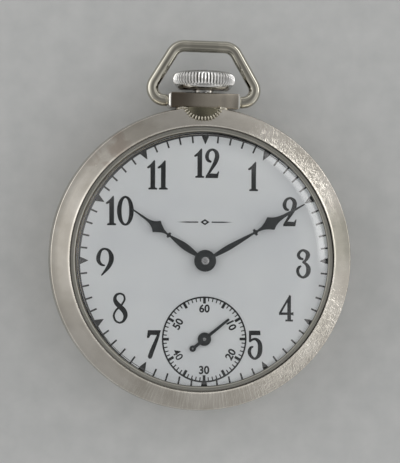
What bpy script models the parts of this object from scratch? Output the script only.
"""Open face pocket watch: nickel case, swinging bow, crown, dial, hands and a pin-lever movement.

The watch lies on its back. +Z points out of the dial, +Y towards the crown, and the origin is the
middle of the flat on the case back. Lengths are in millimetres and angles in degrees; the helpers
at the top turn meshes into metres.
"""
from math import atan2, cos, degrees, hypot, pi, radians, sin, sqrt, tan

import bmesh
import bpy

MM = 0.001
TAU = 2 * pi
GAP = 0.03                      # between faces that touch

# Case
CASE_RADIUS = 25.0
CASE_BORE = 21.3
RIM_RADIUS = 21.7               # inner edge of the brushed face
FACE_OUTER_Z = 9.0
FACE_INNER_Z = 10.35
LEDGE_Z = 9.25                  # the bezel ring rests here
BACK_RIM_Z = 2.7
CRYSTAL_TOP = 13.0
CRYSTAL_WALL = 0.8

# Pendant, bow and crown, all on the stem's axis
STEM_Z = 5.4
NECK_HALF = (3.4, 4.5, 2.3)     # across, towards the dial, towards the back
NECK_Y = (23.35, 24.79)
BAR_SIZE = (11.8, 2.5, 5.0)
BAR_Y = 24.82
BOW_PIVOT_Y = 26.07
BOW_WIRE = 2.1
BOW_PIN = 1.4
BOW_FOOT_X = 10.04              # where the line of a side would meet the pivot axis
BOW_TOP = (4.65, 9.0)
CROWN_RADIUS = 5.2
CROWN_Y = (28.1, 31.15)
STEM_RADIUS = 0.65

# The movement sits a little off the case's centre and turned against it
DIAL_CENTRE = (0.42, -0.27)
DIAL_TURN = 1.1                 # anticlockwise
DIAL_RADIUS = 20.6
SECONDS_OFFSET = 12.8
PLATE_RADIUS = 19.6

# Levels, each (bottom, top)
BACK_PLATE = (1.9, 2.7)
FRONT_PLATE = (6.4, 7.2)
DIAL = (8.75, 9.1)
SECOND_HAND = (9.16, 9.28)
HOUR_HAND = (9.42, 9.56)
MINUTE_HAND = (9.78, 9.92)
CENTRE_WHEEL = (2.95, 3.2)
ESCAPE_WHEEL = (3.25, 3.5)
BARREL = (3.4, 5.75)
LEVER = (3.75, 3.95)
FOURTH_WHEEL = (4.3, 4.5)
THIRD_WHEEL = (5.2, 5.45)
COCK = (1.0, 1.4)
MAINSPRING = (3.85, 5.35)
HAIRSPRING = (1.5, 1.7)
BALANCE_WHEEL = (1.95, 2.55)
ROLLER = (4.2, 4.42)
SETTING_LEVER = (6.1, 6.35)
MINUTE_WHEEL = (7.4, 7.6)
MINUTE_LEAF = (7.65, 8.4)
HOUR_WHEEL = (7.95, 8.15)
CANNON_LEAF = (7.25, 7.75)

# Wheelwork: teeth and modules
CENTRE_TEETH, CENTRE_LEAVES = 64, 10
THIRD_TEETH, FOURTH_TEETH, LEAVES = 60, 60, 8
BARREL_TEETH, BARREL_MODULE = 66, 0.25
CENTRE_MODULE, THIRD_MODULE, FOURTH_MODULE = 0.2, 0.18, 0.16
ESCAPE_TEETH = 15
CANNON_LEAVES, MINUTE_TEETH, MINUTE_LEAVES, HOUR_TEETH = 12, 36, 10, 40
MOTION_MODULE = 0.2
WINDING_LEAVES, CONTRATE_TEETH, CROWN_GEAR_TEETH, RATCHET_TEETH = 12, 24, 30, 50

# Hands at ten past ten, clockwise from twelve
MINUTE_ANGLE = 60.3
HOUR_ANGLE = 305.0
SECOND_ANGLE = 51.0

MATERIALS = {                   # colour, roughness, metallic
    "nickel": ((0.50, 0.47, 0.41), 0.32, 1.0),
    "chrome": ((0.72, 0.72, 0.70), 0.16, 1.0),
    "steel": ((0.46, 0.46, 0.47), 0.3, 1.0),
    "brass": ((0.62, 0.47, 0.22), 0.34, 1.0),
    "black": ((0.02, 0.022, 0.025), 0.35, 0.0),
    "dial_white": ((0.62, 0.65, 0.68), 0.45, 0.0),
    "glass": ((0.9, 0.93, 0.94), 0.05, 0.0),
    "blued": ((0.06, 0.09, 0.22), 0.3, 1.0),
}


# Helpers

def clear_scene():
    for thing in list(bpy.data.objects):
        bpy.data.objects.remove(thing, do_unlink=True)


def material(name):
    found = bpy.data.materials.get(name)
    if found:
        return found
    colour, roughness, metallic = MATERIALS[name]
    made = bpy.data.materials.new(name)
    made.use_nodes = True
    shader = made.node_tree.nodes["Principled BSDF"]
    shader.inputs["Base Color"].default_value = (*colour, 1.0)
    shader.inputs["Roughness"].default_value = roughness
    shader.inputs["Metallic"].default_value = metallic
    return made


def place(name, mesh, slot, at=(0, 0, 0), axis="Z", turn=0.0):
    """One object from a bmesh in local millimetres, at a point, along Z or Y, turned about Z."""
    bmesh.ops.remove_doubles(mesh, verts=mesh.verts, dist=1e-3)
    bmesh.ops.recalc_face_normals(mesh, faces=mesh.faces)
    bmesh.ops.scale(mesh, vec=(MM, MM, MM), verts=mesh.verts)
    data = bpy.data.meshes.new(name)
    mesh.to_mesh(data)
    mesh.free()
    data.shade_smooth()
    data.set_sharp_from_angle(angle=radians(35))
    made = bpy.data.objects.new(name, data)
    made.data.materials.append(material(slot))
    made.location = [MM * v for v in at]
    made.rotation_euler = (radians(-90) if axis == "Y" else 0, 0, radians(turn))
    bpy.context.scene.collection.objects.link(made)
    return made


def circle(radius, count, start=0.0):
    return [(radius * cos(start + TAU * k / count), radius * sin(start + TAU * k / count))
            for k in range(count)]


def arc(radius, start, end, steps, at=(0.0, 0.0)):
    angles = [radians(start + (end - start) * k / steps) for k in range(steps + 1)]
    return [(at[0] + radius * cos(a), at[1] + radius * sin(a)) for a in angles]


def lever_outline(length, head, tip):
    """A tapered lever along +X with a round head at its pivot and a round tip."""
    return arc(head, 100, 260, 6) + arc(tip, -80, 80, 4, (length, 0))


def at_height(outline, z):
    return [(x, y, z) for x, y in outline]


def loft(rings, closed=False):
    """Skin between rings of equal count. A closed loft joins its last ring to its first."""
    mesh = bmesh.new()
    loops = [[mesh.verts.new(point) for point in ring] for ring in rings]
    pairs = list(zip(loops, loops[1:]))
    if closed:
        pairs.append((loops[-1], loops[0]))
    count = len(rings[0])
    for low, high in pairs:
        for k in range(count):
            n = (k + 1) % count
            mesh.faces.new((low[k], low[n], high[n], high[k]))
    if not closed:
        mesh.faces.new(loops[0][::-1])
        mesh.faces.new(loops[-1])
    return mesh


def turned(profile, count=24):
    """A turned piece from (radius, z) points: a ring if it stays off the axis, else a solid."""
    mesh = bmesh.new()
    points = [mesh.verts.new((r, 0, z)) for r, z in profile]
    edges = [mesh.edges.new(pair) for pair in zip(points, points[1:])]
    if profile[0][0] > 0:
        edges.append(mesh.edges.new((points[-1], points[0])))
    bmesh.ops.spin(mesh, geom=points + edges, cent=(0, 0, 0), axis=(0, 0, 1), angle=TAU,
                   steps=count, use_duplicate=False)
    return mesh


def rod(steps, count=10):
    """A turned rod from (radius, z_from, z_to) steps along its axis."""
    rings = []
    for radius, low, high in steps:
        rings += [at_height(circle(radius, count), low), at_height(circle(radius, count), high)]
    return loft(rings)


def plate(outlines, low, high):
    """A flat plate: the first outline is its edge, and the others are holes."""
    mesh = bmesh.new()
    edges = []
    for outline in outlines:
        points = [mesh.verts.new((x, y, low)) for x, y in outline]
        edges += [mesh.edges.new((a, b)) for a, b in zip(points, points[1:] + points[:1])]
    bmesh.ops.triangle_fill(mesh, edges=edges, use_beauty=True)
    grown = bmesh.ops.extrude_face_region(mesh, geom=list(mesh.faces))
    moved = [item for item in grown["geom"] if isinstance(item, bmesh.types.BMVert)]
    bmesh.ops.translate(mesh, vec=(0, 0, high - low), verts=moved)
    return mesh


def box(low, high):
    mesh = bmesh.new()
    bmesh.ops.create_cube(mesh, size=1.0)
    for vert in mesh.verts:
        vert.co = [a + (b - a) * (c + 0.5) for a, b, c in zip(low, high, vert.co)]
    return mesh


def toothed(teeth, module, phase=0.0, wide=False, reach=0.8, depth=1.0):
    """A gear's outline with one tooth's middle at phase. Wide teeth have flat tips."""
    pitch = TAU / teeth
    tip = module * (teeth / 2 + reach)
    root = module * (teeth / 2 - depth)
    spread = (-0.09, 0.09) if wide else (0.0,)
    outline = []
    for k in range(teeth):
        middle = phase + k * pitch
        outline += [(tip * cos(middle + s * pitch), tip * sin(middle + s * pitch)) for s in spread]
        valley = middle + pitch / 2
        outline.append((root * cos(valley), root * sin(valley)))
    return outline


def meshing_phase(phase, teeth, other_teeth, here, there):
    """The phase of a gear at `there` whose gap receives the tooth of the gear at `here`."""
    line = atan2(there[1] - here[1], there[0] - here[0])
    return line + pi - (phase - line) * teeth / other_teeth + pi / other_teeth


def windows(count, inner, outer, arm, start=0.0):
    """Openings between a wheel's arms."""
    made = []
    for k in range(count):
        middle = start + TAU * (k + 0.5) / count
        half_out = pi / count - arm / 2 / outer
        half_in = pi / count - arm / 2 / inner
        far = [middle + half_out * t for t in (-1, -1 / 3, 1 / 3, 1)]
        near = [middle + half_in * t for t in (0.9, -0.9)]
        made.append([(outer * cos(a), outer * sin(a)) for a in far]
                    + [(inner * cos(a), inner * sin(a)) for a in near])
    return made


def helper(name, mesh, **where):
    """A cutter or a piece that a Boolean joins: it isn't part of the watch."""
    made = place(name, mesh, "steel", **where)
    made.hide_render = True
    made.display_type = "WIRE"
    return made


def boolean(target, tool, operation="DIFFERENCE"):
    modifier = target.modifiers.new(tool.name, "BOOLEAN")
    modifier.operation = operation
    modifier.solver = "EXACT"
    modifier.object = tool


# Places in the movement

def on_dial(distance, clock_angle):
    """A point at a distance from the centre arbor, at a clockwise angle from twelve."""
    angle = radians(90 + DIAL_TURN - clock_angle)
    return (DIAL_CENTRE[0] + distance * cos(angle), DIAL_CENTRE[1] + distance * sin(angle))


def towards(start, end, distance):
    length = hypot(end[0] - start[0], end[1] - start[1])
    return tuple(a + (b - a) * distance / length for a, b in zip(start, end))


def beyond(start, distance, angle):
    return (start[0] + distance * cos(radians(angle)), start[1] + distance * sin(radians(angle)))


def meeting(first, first_distance, second, second_distance):
    """The point at these distances from two others, to the right of the line between them."""
    span = hypot(second[0] - first[0], second[1] - first[1])
    along = (first_distance ** 2 - second_distance ** 2 + span ** 2) / (2 * span)
    aside = sqrt(first_distance ** 2 - along ** 2)
    ux, uy = (second[0] - first[0]) / span, (second[1] - first[1]) / span
    return (first[0] + ux * along - uy * aside, first[1] + uy * along + ux * aside)


CENTRE = DIAL_CENTRE
FOURTH = on_dial(SECONDS_OFFSET, 180)
THIRD = meeting(CENTRE, CENTRE_MODULE * (CENTRE_TEETH + LEAVES) / 2,
                FOURTH, THIRD_MODULE * (THIRD_TEETH + LEAVES) / 2)
BARREL_AT = beyond(CENTRE, BARREL_MODULE * (BARREL_TEETH + CENTRE_LEAVES) / 2, 160)
ESCAPE = beyond(FOURTH, FOURTH_MODULE * (FOURTH_TEETH + LEAVES) / 2, -5)
BALANCE = beyond(CENTRE, 13.0, -12)
PALLET = towards(ESCAPE, BALANCE, 4.3)
CROWN_WHEEL_AT = (0.0, 14.0)
WINDING_MODULE = 2 * hypot(BARREL_AT[0] - CROWN_WHEEL_AT[0], BARREL_AT[1] - CROWN_WHEEL_AT[1]) / (
    CROWN_GEAR_TEETH + RATCHET_TEETH)
MINUTE_AT = on_dial(MOTION_MODULE * (CANNON_LEAVES + MINUTE_TEETH) / 2, 0)
SETTING_AT = on_dial(MOTION_MODULE * (CANNON_LEAVES + 2 * MINUTE_TEETH + CANNON_LEAVES) / 2, 0)
HOUR_MODULE = 2 * MOTION_MODULE * (CANNON_LEAVES + MINUTE_TEETH) / 2 / (MINUTE_LEAVES + HOUR_TEETH)
PILLARS = [beyond(CENTRE, 17.9, angle) for angle in (40, 122, 215, -40)]
RATCHET_REACH = 0.62            # of a tooth beyond the pitch circle, in modules
CLICK_TIP = beyond(BARREL_AT, WINDING_MODULE * (RATCHET_TEETH / 2 + RATCHET_REACH) + 0.08, -58)
CLICK_AT = beyond(beyond(CLICK_TIP, 4.6, 32), 1.2, -58)
COCK_FOOT = beyond(BALANCE, 10.4, 108)


# Case

def case_body():
    profile = [(CASE_BORE, 3.75), (CASE_BORE, LEDGE_Z), (RIM_RADIUS, LEDGE_Z), (RIM_RADIUS, 10.15),
               (22.0, FACE_INNER_Z), (24.6, FACE_OUTER_Z), (24.92, 8.6), (CASE_RADIUS, 7.6),
               (CASE_RADIUS, 5.2), (24.85, 4.0), (24.5, 3.1), (24.2, BACK_RIM_Z + 0.05),
               (23.4, BACK_RIM_Z + 0.05), (23.4, 3.75)]
    body = place("case_body", turned(profile, 48), "nickel")
    boolean(body, neck_cutter())
    boolean(body, helper("stem_hole", rod([(1.1, 20.0, 24.0)]), at=(0, 0, STEM_Z), axis="Y"))


def neck_outline(spare=0.0):
    across, front, back = [half + spare for half in NECK_HALF]
    return [(x * across, y * (back if y > 0 else front)) for x, y in circle(1.0, 32)]


def neck_cutter():
    shape = loft([at_height(neck_outline(0.05), z) for z in (NECK_Y[0] - 0.04, 27)])
    return helper("neck_cutter", shape, at=(0, 0, STEM_Z), axis="Y")


def back_cover():
    outside = [(0, 0), (16.5, 0), (19.5, 0.22), (22.2, 0.85), (23.7, 1.7), (24.18, BACK_RIM_Z)]
    inside = [(23.3, BACK_RIM_Z), (23.3, 3.6), (22.7, 3.6), (22.6, 2.0), (21.3, 1.25), (19.0, 0.8),
              (16.5, 0.6), (0, 0.6)]
    place("back_cover", turned(outside + inside, 48), "nickel")


def bezel_ring():
    profile = [(21.66, LEDGE_Z + GAP), (21.66, 9.98), (21.36, 10.0), (20.96, 9.68), (20.78, 9.66),
               (20.78, 9.56), (21.12, 9.56), (21.12, LEDGE_Z + GAP)]
    place("bezel_ring", turned(profile, 48), "chrome")


def dome(edge_radius, edge_z, top_z, count):
    """Points of an arc from the top of a dome to its rim."""
    rise = top_z - edge_z
    sphere = (edge_radius ** 2 + rise ** 2) / (2 * rise)
    spread = atan2(edge_radius, sphere - rise)
    angles = [spread * k / count for k in range(1, count + 1)]
    return [(0, top_z)] + [(sphere * sin(a), top_z - sphere + sphere * cos(a)) for a in angles]


def crystal():
    outer = dome(20.35, 10.75, CRYSTAL_TOP, 4) + [(20.72, 10.3), (20.72, 9.54), (21.08, 9.53)]
    inner = dome(19.85, 10.2, CRYSTAL_TOP - CRYSTAL_WALL, 3) + [(20.1, LEDGE_Z + GAP)]
    profile = outer + [(21.08, LEDGE_Z + GAP)] + inner[::-1]
    place("crystal", turned(profile, 48), "glass")


# Pendant, bow and crown

def pendant_neck():
    bore = circle(0.9, 32)
    rings = [at_height(neck_outline(), NECK_Y[0]), at_height(neck_outline(), NECK_Y[1]),
             at_height(bore, NECK_Y[1]), at_height(bore, NECK_Y[0])]
    place("pendant_neck", loft(rings, closed=True), "nickel", at=(0, 0, STEM_Z), axis="Y")


def pendant_bar():
    width, height, depth = BAR_SIZE
    shape = box((-width / 2, BAR_Y - BOW_PIVOT_Y, -depth / 2),
                (width / 2, BAR_Y + height - BOW_PIVOT_Y, depth / 2))
    bar = place("pendant_bar", shape, "nickel", at=(0, BOW_PIVOT_Y, STEM_Z))
    bevel = bar.modifiers.new("rounded_edges", "BEVEL")
    bevel.width = 0.3 * MM
    bevel.segments = 2
    bevel.limit_method = "ANGLE"
    boolean(bar, helper("bar_bore", rod([(0.9, 23.0, 29.0)], 16), at=(0, 0, STEM_Z), axis="Y"))
    for side in (-1, 1):
        hole = helper(f"bow_hole_{side + 1}", rod([(BOW_PIN / 2 + 0.06, -1.5, 1.5)], 16),
                      at=(side * width / 2, BOW_PIVOT_Y, STEM_Z))
        hole.rotation_euler = (0, radians(90), 0)
        boolean(bar, hole)


def filleted(corner, before, after, radius, steps):
    """Points of the arc that rounds a corner between two straight lines."""
    into = (corner[0] - before[0], corner[1] - before[1])
    out = (after[0] - corner[0], after[1] - corner[1])
    turn = atan2(into[0] * out[1] - into[1] * out[0], into[0] * out[0] + into[1] * out[1])
    heading = atan2(into[1], into[0])
    tangent = radius * tan(abs(turn) / 2)
    start = (corner[0] - tangent * cos(heading), corner[1] - tangent * sin(heading))
    side = 1 if turn > 0 else -1
    centre = (start[0] - side * radius * sin(heading), start[1] + side * radius * cos(heading))
    return [(centre[0] + side * radius * sin(heading + turn * k / steps),
             centre[1] - side * radius * cos(heading + turn * k / steps)) for k in range(steps + 1)]


def bow():
    foot, top = (BOW_FOOT_X, 0.0), BOW_TOP
    half = filleted(foot, (0, 0), top, 2.0, 6) + filleted(top, foot, (0, top[1]), 2.3, 4)
    path = [(BAR_SIZE[0] / 2 + 0.12, 0.0)] + half
    path += [(-x, y) for x, y in path[::-1]]
    pin_scale = BOW_PIN / BOW_WIRE
    pin = [(BAR_SIZE[0] / 2 - 1.35, 0.0, pin_scale), (BAR_SIZE[0] / 2 + 0.08, 0.0, pin_scale)]
    points = pin + [(x, y, 1.0) for x, y in path] + [(-x, y, s) for x, y, s in pin[::-1]]
    curve = bpy.data.curves.new("bow", "CURVE")
    curve.dimensions = "3D"
    curve.bevel_depth = BOW_WIRE / 2 * MM
    curve.bevel_resolution = 3
    curve.use_fill_caps = True
    spline = curve.splines.new("POLY")
    spline.points.add(len(points) - 1)
    for point, (x, y, scale) in zip(spline.points, points):
        point.co = (x * MM, y * MM, 0.0, 1.0)
        point.radius = scale
    curve.materials.append(material("nickel"))
    made = bpy.data.objects.new("bow", curve)
    made.location = (0, BOW_PIVOT_Y * MM, STEM_Z * MM)
    bpy.context.scene.collection.objects.link(made)


def crown():
    low, high = CROWN_Y
    profile = [(0, high + 0.2), (3.6, high + 0.12), (4.7, high - 0.12), (CROWN_RADIUS, high - 0.5),
               (CROWN_RADIUS, low + 0.55), (4.9, low + 0.15), (4.3, low), (2.4, low),
               (2.4, low - 0.4), (0.7, low - 0.4), (0.7, low + 1.8), (0, low + 1.8)]
    place("crown", turned(profile, 28), "chrome", at=(0, 0, STEM_Z), axis="Y")


def winding_stem():
    groove = [(STEM_RADIUS, 15.2, 18.6), (0.4, 18.6, 19.4), (STEM_RADIUS, 19.4, CROWN_Y[0] + 1.75)]
    place("winding_stem", rod([(0.45, 11.5, 15.2)] + groove), "steel", at=(0, 0, STEM_Z), axis="Y")


# Dial and hands

def movement_ring():
    low, high = FRONT_PLATE[0], DIAL[0] - GAP
    place("movement_ring", turned([(20.2, low), (21.2, low), (21.2, high), (20.2, high)], 32), "brass")


def dial():
    seconds = [(x, y - SECONDS_OFFSET) for x, y in circle(0.5, 12)]
    shape = plate([circle(DIAL_RADIUS, 56), circle(1.5, 16), seconds], *DIAL)
    place("dial", shape, "dial_white", at=(*DIAL_CENTRE, 0), turn=DIAL_TURN)


def hand_outline(hub, side, tip):
    """A hand along +Y: a round hub, then (distance, half width) points up to the tip."""
    start = pi - atan2(side[0][0], side[0][1])
    sweep = 3 * pi - 2 * start
    around = [start + sweep * k / 14 for k in range(1, 14)]
    right = [(w, s) for s, w in side]
    left = [(-w, s) for s, w in side[::-1]]
    return right + [(0.0, tip)] + left + [(hub * cos(a), hub * sin(a)) for a in around]


def hub_start(hub, half_width):
    return (sqrt(hub ** 2 - half_width ** 2), half_width)


def place_hand(name, outline, bore, level, at, clock_angle):
    shape = plate([outline, circle(bore, 16)], *level)
    place(name, shape, "black", at=(*at, 0), turn=DIAL_TURN - clock_angle)


def hour_hand():
    side = [hub_start(1.78, 0.3), (2.3, 0.4), (4.1, 0.55), (6.9, 0.15), (7.06, 0.47), (7.42, 0.47),
            (7.7, 0.16), (8.6, 0.42), (9.7, 1.12), (10.6, 0.5), (11.7, 0.2)]
    place_hand("hour_hand", hand_outline(1.78, side, 14.7), 1.2, HOUR_HAND, CENTRE, HOUR_ANGLE)


def minute_hand():
    side = [hub_start(1.78, 0.28), (3.0, 0.4), (4.5, 0.45), (9.1, 0.17), (9.25, 0.57), (9.65, 0.57),
            (9.9, 0.17), (11.2, 0.45), (12.4, 1.2), (13.4, 0.6), (14.9, 0.3)]
    place_hand("minute_hand", hand_outline(1.78, side, 18.8), 0.8, MINUTE_HAND, CENTRE, MINUTE_ANGLE)


def second_hand():
    hub, tail = 1.11, 2.46
    pointer = [(0.2, 5.0), hub_start(hub, 0.25)[::-1]]
    right = pointer + arc(hub, 40, -75, 4) + arc(0.53, 60, -90, 5, (0, -tail))
    outline = [(0.0, 5.25)] + right + [(-x, y) for x, y in right[::-1]]
    place_hand("second_hand", outline, 0.32, SECOND_HAND, FOURTH, SECOND_ANGLE)


# Plates

def plate_body(name, level, notch, holes):
    """A round plate with round holes, and one notch cut through it."""
    outlines = [circle(PLATE_RADIUS, 48)]
    for (x, y), radius in holes:
        outlines.append([(x - CENTRE[0] + u, y - CENTRE[1] + v) for u, v in circle(radius, 10)])
    made = place(name, plate(outlines, *level), "brass", at=(*CENTRE, 0))
    shape, at = notch
    boolean(made, helper(name + "_notch", plate([shape], level[0] - 1, level[1] + 1), at=(*at, 0)))


def back_plate():
    balance_room = (circle(6.6, 28), BALANCE)
    holes = [(CENTRE, 0.36), (THIRD, 0.26), (FOURTH, 0.36), (ESCAPE, 0.26), (PALLET, 0.26),
             (BARREL_AT, 1.06), (CROWN_WHEEL_AT, 0.86), (CLICK_AT, 0.36), (COCK_FOOT, 0.5)]
    holes += [(at, 0.55) for at in PILLARS]
    plate_body("back_plate", BACK_PLATE, balance_room, holes)


def front_plate():
    slot = ([(-2.2, 10.9), (2.2, 10.9), (2.2, 21), (-2.2, 21)], (0, 0))
    holes = [(CENTRE, 0.56), (THIRD, 0.26), (FOURTH, 0.36), (ESCAPE, 0.26), (PALLET, 0.26),
             (BARREL_AT, 0.66), (BALANCE, 0.26), (MINUTE_AT, 0.36), (SETTING_AT, 0.56)]
    plate_body("front_plate", FRONT_PLATE, slot, holes)


def pillars_and_screws():
    pillar = [(0.56, BACK_PLATE[1] + GAP), (1.0, BACK_PLATE[1] + GAP), (1.0, FRONT_PLATE[0] - GAP),
              (0.56, FRONT_PLATE[0] - GAP)]
    for k, at in enumerate(PILLARS, 1):
        place(f"pillar_{k}", turned(pillar, 16), "brass", at=(*at, 0))
        screw = rod([(1.15, BACK_PLATE[0] - 0.4, BACK_PLATE[0] - GAP), (0.5, BACK_PLATE[0] - GAP, 4.2)])
        place(f"plate_screw_{k}", screw, "blued", at=(*at, 0))


# Going train

def arbor(name, at, pivot, body, leaves, teeth, module, phase=0.0, top=FRONT_PLATE[1] - 0.1):
    """A steel arbor between the plates, with its pinion's leaves from one level to another."""
    count = 2 * teeth
    shoulder_low, shoulder_high = BACK_PLATE[1] + 0.05, FRONT_PLATE[0] - 0.05
    star = toothed(teeth, module, phase)

    def round_at(radius, z):
        return at_height(circle(radius, count, phase), z)

    rings = [round_at(pivot, BACK_PLATE[0] + 0.1), round_at(pivot, shoulder_low)]
    if leaves[0] - shoulder_low > 0.02:
        rings += [round_at(body, shoulder_low), round_at(body, leaves[0])]
    rings += [at_height(star, leaves[0]), at_height(star, leaves[1])]
    rings += [round_at(body, leaves[1]), round_at(body, shoulder_high)]
    rings += [round_at(pivot, shoulder_high), round_at(pivot, top)]
    place(name, loft(rings), "steel", at=(*at, 0))


def wheel(name, at, level, outline, bore, hub, rim, arms=5, arm=0.55, slot="brass"):
    openings = windows(arms, hub, rim, arm)
    place(name, plate([outline, circle(bore, 10)] + openings, *level), slot, at=(*at, 0))


def going_train():
    """Every mesh is set from the centre wheel outward, so each tooth meets a gap."""
    third_leaf = meshing_phase(0.0, CENTRE_TEETH, LEAVES, CENTRE, THIRD)
    fourth_leaf = meshing_phase(0.0, THIRD_TEETH, LEAVES, THIRD, FOURTH)
    escape_leaf = meshing_phase(0.0, FOURTH_TEETH, LEAVES, FOURTH, ESCAPE)
    arbor("centre_arbor", CENTRE, 0.3, 0.5, (3.4, 4.1), CENTRE_LEAVES, BARREL_MODULE)
    arbor("third_arbor", THIRD, 0.2, 0.4, (2.85, 3.4), LEAVES, CENTRE_MODULE, third_leaf)
    arbor("fourth_arbor", FOURTH, 0.3, 0.34, (5.1, 5.6), LEAVES, THIRD_MODULE, fourth_leaf,
          SECOND_HAND[1] + 0.08)
    arbor("escape_arbor", ESCAPE, 0.2, 0.32, (4.15, 4.65), LEAVES, FOURTH_MODULE, escape_leaf)
    wheel("centre_wheel", CENTRE, CENTRE_WHEEL, toothed(CENTRE_TEETH, CENTRE_MODULE), 0.54, 1.6, 5.5)
    wheel("third_wheel", THIRD, THIRD_WHEEL, toothed(THIRD_TEETH, THIRD_MODULE), 0.44, 1.3, 4.6)
    wheel("fourth_wheel", FOURTH, FOURTH_WHEEL, toothed(FOURTH_TEETH, FOURTH_MODULE), 0.38, 1.2, 4.1)
    wheel("escape_wheel", ESCAPE, ESCAPE_WHEEL, escape_outline(), 0.36, 0.9, 2.1, 4, 0.45, "steel")


def escape_outline():
    """Fifteen raked teeth with narrow tips."""
    outline = []
    for k in range(ESCAPE_TEETH):
        for radius, share in ((3.2, 0.0), (3.15, 0.12), (2.5, 0.38), (2.5, 0.85)):
            angle = TAU * (k + share) / ESCAPE_TEETH
            outline.append((radius * cos(angle), radius * sin(angle)))
    return outline


def mainspring_barrel():
    low, high = BARREL
    phase = meshing_phase(0.0, CENTRE_LEAVES, BARREL_TEETH, CENTRE, BARREL_AT)
    outline = toothed(BARREL_TEETH, BARREL_MODULE, phase)
    barrel = place("mainspring_barrel", plate([outline, circle(1.7, 24)], low, low + 0.35), "brass",
                   at=(*BARREL_AT, 0))
    wall = turned([(7.1, low + 0.2), (7.5, low + 0.2), (7.5, high), (7.1, high)], 28)
    boolean(barrel, helper("barrel_wall", wall, at=(*BARREL_AT, 0)), "UNION")
    lid = turned([(1.7, high - 0.3), (7.05, high - 0.3), (7.05, high - 0.02), (1.7, high - 0.02)], 24)
    place("barrel_cover", lid, "brass", at=(*BARREL_AT, 0))
    core = turned([(0, FRONT_PLATE[1] - 0.1), (0.6, FRONT_PLATE[1] - 0.1), (0.6, FRONT_PLATE[0] - 0.3),
                   (1.62, FRONT_PLATE[0] - 0.3), (1.62, low), (1.0, low - 0.5), (1.0, 1.02),
                   (0.45, 1.02), (0.45, 2.6), (0, 2.6)], 16)
    place("barrel_arbor", core, "steel", at=(*BARREL_AT, 0))


def ribbon(name, at, inner, outer, turns, thickness, level, steps):
    """A flat spiral of blued strip, with this many straight steps to a turn."""
    count = turns * steps
    low, high = level
    rings = []
    for k in range(count + 1):
        angle = TAU * k / steps
        near = inner + (outer - inner) * k / count
        far = near + thickness
        section = ((near, low), (far, low), (far, high), (near, high))
        rings.append([(cos(angle) * r, sin(angle) * r, z) for r, z in section])
    place(name, loft(rings), "blued", at=(*at, 0))


# Escapement and balance

def pallet_lever():
    reach = hypot(BALANCE[0] - PALLET[0], BALANCE[1] - PALLET[1]) - 1.25
    half = [(0.22, reach), (0.5, reach), (0.55, reach - 0.9), (0.25, reach - 1.5), (0.3, 1.1),
            (0.75, 0.5), (2.3, -1.5), (2.2, -2.3), (1.8, -2.2), (1.5, -1.4), (0.35, -0.6)]
    fork = [(0.0, reach - 0.6)]
    outline = fork + half + [(-x, y) for x, y in half[::-1]]
    turn = degrees(atan2(BALANCE[1] - PALLET[1], BALANCE[0] - PALLET[0])) - 90
    lever = place("pallet_lever", plate([outline], *LEVER), "steel", at=(*PALLET, 0), turn=turn)
    staff = rod([(0.2, BACK_PLATE[0] + 0.1, BACK_PLATE[1] + 0.05),
                 (0.32, BACK_PLATE[1] + 0.05, FRONT_PLATE[0] - 0.05),
                 (0.2, FRONT_PLATE[0] - 0.05, FRONT_PLATE[1] - 0.1)])
    boolean(lever, helper("pallet_staff", staff, at=(*PALLET, 0)), "UNION")
    for side in (-1, 1):
        pin = helper(f"pallet_pin_{side + 1}", rod([(0.12, ESCAPE_WHEEL[1] + 0.08, LEVER[0] + 0.1)], 8),
                     at=(*PALLET, 0))
        x, y = side * 2.0, -2.0
        spun = radians(turn)
        pin.location.x += (x * cos(spun) - y * sin(spun)) * MM
        pin.location.y += (x * sin(spun) + y * cos(spun)) * MM
        boolean(lever, pin, "UNION")


def balance():
    openings = [half_window(side) for side in (1, -1)]
    shape = plate([circle(6.0, 36), circle(0.5, 12)] + openings, *BALANCE_WHEEL)
    place("balance_wheel", shape, "brass", at=(*BALANCE, 0), turn=25)
    staff = [(0.18, COCK[0] + 0.1, COCK[1] + 0.05), (0.46, COCK[1] + 0.05, ROLLER[0]), (1.2, *ROLLER),
             (0.46, ROLLER[1], FRONT_PLATE[0] - 0.05), (0.2, FRONT_PLATE[0] - 0.05, FRONT_PLATE[1] - 0.1)]
    place("balance_staff", rod(staff, 16), "steel", at=(*BALANCE, 0))


def half_window(side):
    """Half of the space inside the balance's rim, on one side of its straight arm."""
    arm, hub, rim = 0.4, 1.0, 5.35
    outer_start = atan2(arm, sqrt(rim ** 2 - arm ** 2))
    inner_start = atan2(arm, sqrt(hub ** 2 - arm ** 2))
    outer = [outer_start + (pi - 2 * outer_start) * k / 10 for k in range(11)]
    inner = [pi - inner_start - (pi - 2 * inner_start) * k / 5 for k in range(6)]
    points = [(rim * cos(a), rim * sin(a)) for a in outer]
    points += [(hub * cos(a), hub * sin(a)) for a in inner]
    return [(side * x, side * y) for x, y in points]


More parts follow.
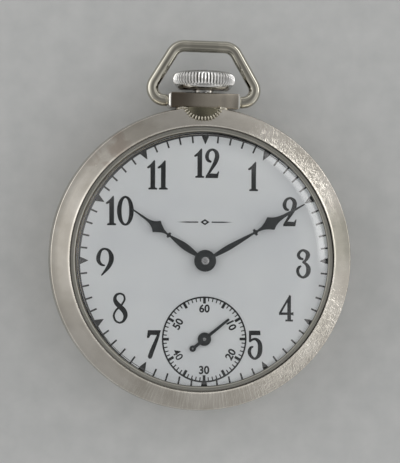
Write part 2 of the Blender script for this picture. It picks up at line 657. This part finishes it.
def balance_cock():
    angle = atan2(COCK_FOOT[1] - BALANCE[1], COCK_FOOT[0] - BALANCE[0])
    length = hypot(COCK_FOOT[0] - BALANCE[0], COCK_FOOT[1] - BALANCE[1])
    foot = arc(2.2, -90, 90, 6, (length, 0))
    outline = arc(1.5, 60, 300, 8) + [(length - 3.2, -2.2)] + foot + [(length - 3.2, 2.2)]
    screw_hole = [(length + x, y) for x, y in circle(0.55, 12)]
    shape = plate([outline, circle(0.24, 12), screw_hole], *COCK)
    cock = place("balance_cock", shape, "nickel", at=(*BALANCE, 0), turn=degrees(angle))
    block = [(length - 2.9, -2.1), (length + 1.0, -2.1), (length + 1.9, 0), (length + 1.0, 2.1),
             (length - 2.9, 2.1)]
    foot_block = plate([block, screw_hole], COCK[1] - 0.1, BACK_PLATE[0] - GAP)
    boolean(cock, helper("cock_foot", foot_block, at=(*BALANCE, 0), turn=degrees(angle)), "UNION")
    screw = rod([(1.1, COCK[0] - 0.28, COCK[0] - GAP), (0.45, COCK[0] - GAP, BACK_PLATE[1] - 0.1)])
    place("cock_screw", screw, "blued", at=(*COCK_FOOT, 0))


def regulator():
    outline = arc(1.25, 20, 340, 10) + [(4.6, -0.12), (4.9, 0.0), (4.6, 0.12)]
    level = (COCK[0] - 0.22, COCK[0] - GAP)
    place("regulator", plate([outline, circle(0.7, 16)], *level), "steel", at=(*BALANCE, 0), turn=-60)


# Winding and setting

def winding_work():
    ratchet_phase = meshing_phase(0.0, CROWN_GEAR_TEETH, RATCHET_TEETH, CROWN_WHEEL_AT, BARREL_AT)
    gear = toothed(CROWN_GEAR_TEETH, WINDING_MODULE, wide=True, reach=RATCHET_REACH)
    place("crown_gear", plate([gear, circle(0.84, 16)], *COCK), "steel", at=(*CROWN_WHEEL_AT, 0))
    ratchet = toothed(RATCHET_TEETH, WINDING_MODULE, ratchet_phase, wide=True, reach=RATCHET_REACH)
    place("ratchet_wheel", plate([ratchet, circle(1.05, 16)], *COCK), "steel", at=(*BARREL_AT, 0))
    screw = rod([(2.0, COCK[0] - 0.26, COCK[0] - GAP), (0.4, COCK[0] - GAP, 2.4)], 16)
    place("ratchet_screw", screw, "blued", at=(*BARREL_AT, 0))
    shaft = rod([(1.7, COCK[0] - 0.24, COCK[0] - GAP), (0.8, COCK[0] - GAP, 3.5)], 16)
    place("crown_wheel_arbor", shaft, "steel", at=(*CROWN_WHEEL_AT, 0))
    place("crown_wheel", contrate(), "steel", at=(*CROWN_WHEEL_AT, 0))
    pinion = toothed(WINDING_LEAVES, 0.225, radians(90), reach=1.1, depth=1.1)
    place("winding_pinion", plate([pinion, circle(0.72, 12)], 16.1, 17.3), "steel",
          at=(0, 0, STEM_Z), axis="Y")
    sleeve = [(0.56, 12.25), (1.3, 12.25), (1.3, 13.1), (0.95, 13.1), (0.95, 13.7), (1.3, 13.7),
              (1.3, 14.7), (0.56, 14.7)]
    place("clutch_wheel", turned(sleeve, 16), "steel", at=(0, 0, STEM_Z), axis="Y")


def contrate():
    """A wheel whose teeth stand up from its rim, with a gap towards +Y."""
    low, web, root, tip = 3.0, 3.3, 3.7, 4.08
    count = 2 * CONTRATE_TEETH
    start = pi / 2
    rings = [[] for _ in range(6)]
    for k in range(count):
        angle = start + TAU * k / count
        height = root if k % 2 == 0 else tip
        profile = [(0.84, low), (3.3, low), (3.3, height), (2.1, height), (2.1, web), (0.84, web)]
        for ring, (radius, z) in zip(rings, profile):
            ring.append((radius * cos(angle), radius * sin(angle), z))
    return loft(rings, closed=True)


def setting_work():
    at, pin_at = (4.2, 18.0), (0.25, 19.0)
    length = hypot(pin_at[0] - at[0], pin_at[1] - at[1])
    turn = degrees(atan2(pin_at[1] - at[1], pin_at[0] - at[0]))
    lever = place("setting_lever", plate([lever_outline(length, 0.9, 0.35)], *SETTING_LEVER), "steel",
                  at=(*at, 0), turn=turn)
    pin = rod([(0.22, STEM_Z + 0.46, SETTING_LEVER[0] + 0.1)], 8)
    boolean(lever, helper("lever_pin", pin, at=(*pin_at, 0)), "UNION")
    yoke_level = (STEM_Z - 0.15, STEM_Z + 0.15)
    yoke_at, yoke_tip = (-4.5, 13.9), (-1.22, 13.4)
    length = hypot(yoke_tip[0] - yoke_at[0], yoke_tip[1] - yoke_at[1])
    turn = degrees(atan2(yoke_tip[1] - yoke_at[1], yoke_tip[0] - yoke_at[0]))
    place("yoke", plate([lever_outline(length, 0.8, 0.16)], *yoke_level), "steel",
          at=(*yoke_at, 0), turn=turn)


def click_work():
    turn = degrees(atan2(CLICK_TIP[1] - CLICK_AT[1], CLICK_TIP[0] - CLICK_AT[0]))
    length = hypot(CLICK_TIP[0] - CLICK_AT[0], CLICK_TIP[1] - CLICK_AT[1])
    click = place("click", plate([lever_outline(length - 0.05, 1.2, 0.05)], *COCK), "steel",
                  at=(*CLICK_AT, 0), turn=turn)
    boolean(click, helper("click_stud", rod([(0.3, COCK[1] - 0.1, BACK_PLATE[1] - 0.1)]),
                          at=(*CLICK_AT, 0)), "UNION")
    spring = arc(3.6, -100, 20, 8) + arc(3.4, 20, -100, 8)
    place("click_spring", plate([spring], COCK[0] + 0.08, COCK[1] - 0.08), "blued",
          at=(CLICK_AT[0] - 5.5, CLICK_AT[1] - 3.0, 0))


def motion_work():
    """The cannon pinion, minute wheel and hour wheel between the front plate and the dial."""
    minute_phase = meshing_phase(0.0, CANNON_LEAVES, MINUTE_TEETH, CENTRE, MINUTE_AT)
    setting_phase = meshing_phase(minute_phase, MINUTE_TEETH, CANNON_LEAVES, MINUTE_AT, SETTING_AT)
    hour_phase = meshing_phase(0.0, MINUTE_LEAVES, HOUR_TEETH, MINUTE_AT, CENTRE)
    count = 2 * CANNON_LEAVES
    star, tube = toothed(CANNON_LEAVES, MOTION_MODULE), circle(0.76, count)
    cannon = [at_height(star, CANNON_LEAF[0]), at_height(star, CANNON_LEAF[1]),
              at_height(tube, CANNON_LEAF[1]), at_height(tube, MINUTE_HAND[1] + 0.03),
              at_height(circle(0.42, count), MINUTE_HAND[1] + 0.13)]
    place("cannon_pinion", loft(cannon), "steel", at=(*CENTRE, 0))
    teeth = toothed(MINUTE_TEETH, MOTION_MODULE, minute_phase)
    wheel("minute_wheel", MINUTE_AT, MINUTE_WHEEL, teeth, 0.44, 1.3, 2.8, 4, 0.5)
    leaf, foot, body = toothed(MINUTE_LEAVES, HOUR_MODULE), circle(0.3, 20), circle(0.4, 20)
    low, high = MINUTE_LEAF
    stud = [at_height(foot, 6.6), at_height(foot, 7.3), at_height(body, 7.3), at_height(body, low),
            at_height(leaf, low), at_height(leaf, high)]
    place("minute_pinion", loft(stud), "steel", at=(*MINUTE_AT, 0))
    teeth = toothed(HOUR_TEETH, HOUR_MODULE, hour_phase)
    hours = place("hour_wheel", plate([teeth, circle(1.02, 16)], *HOUR_WHEEL), "brass", at=(*CENTRE, 0))
    top = HOUR_HAND[1] + 0.02
    pipe = turned([(0.84, 7.9), (1.16, 7.9), (1.16, top), (0.84, top)], 16)
    boolean(hours, helper("hour_pipe", pipe, at=(*CENTRE, 0)), "UNION")
    upper, shaft = toothed(CANNON_LEAVES, MOTION_MODULE, setting_phase), circle(0.5, count)
    setting = [at_height(upper, 5.15), at_height(upper, 5.6), at_height(shaft, 5.6),
               at_height(shaft, 7.35), at_height(upper, 7.35), at_height(upper, 7.65)]
    place("setting_wheel", loft(setting), "steel", at=(*SETTING_AT, 0))


def build():
    clear_scene()
    case_body()
    back_cover()
    bezel_ring()
    crystal()
    pendant_neck()
    pendant_bar()
    bow()
    crown()
    winding_stem()
    movement_ring()
    dial()
    hour_hand()
    minute_hand()
    second_hand()
    back_plate()
    front_plate()
    pillars_and_screws()
    going_train()
    mainspring_barrel()
    ribbon("mainspring", BARREL_AT, 1.75, 6.6, 4, 0.3, MAINSPRING, 14)
    pallet_lever()
    balance()
    ribbon("hairspring", BALANCE, 0.6, 3.4, 4, 0.12, HAIRSPRING, 12)
    balance_cock()
    regulator()
    winding_work()
    setting_work()
    click_work()
    motion_work()


build()
